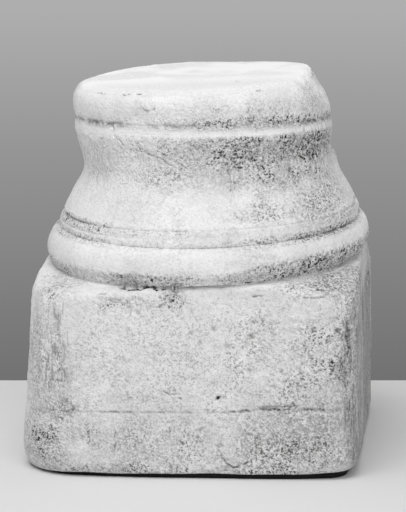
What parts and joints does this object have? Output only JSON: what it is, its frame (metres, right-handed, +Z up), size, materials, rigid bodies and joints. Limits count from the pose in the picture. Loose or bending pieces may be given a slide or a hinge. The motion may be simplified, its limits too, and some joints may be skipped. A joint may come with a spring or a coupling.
{
  "type": "column base",
  "caption": "Carved stone column base: a tall square plinth carrying a large torus, a thin roll, a bell-shaped neck, a flat band and a thick crown with a sloping bed for the shaft.",
  "frame": {"origin": "middle of the flat underside of the plinth", "axes": "+Z up, -Y towards the front face of the plinth, +X towards its right-hand side"},
  "size_m": [0.3364, 0.325, 0.3777],
  "materials": {
    "stone": "dry, weathered and matt, with pits and tool marks"
  },
  "bodies": {
    "root": {"column_base": "stone"}
  },
  "joints": []
}
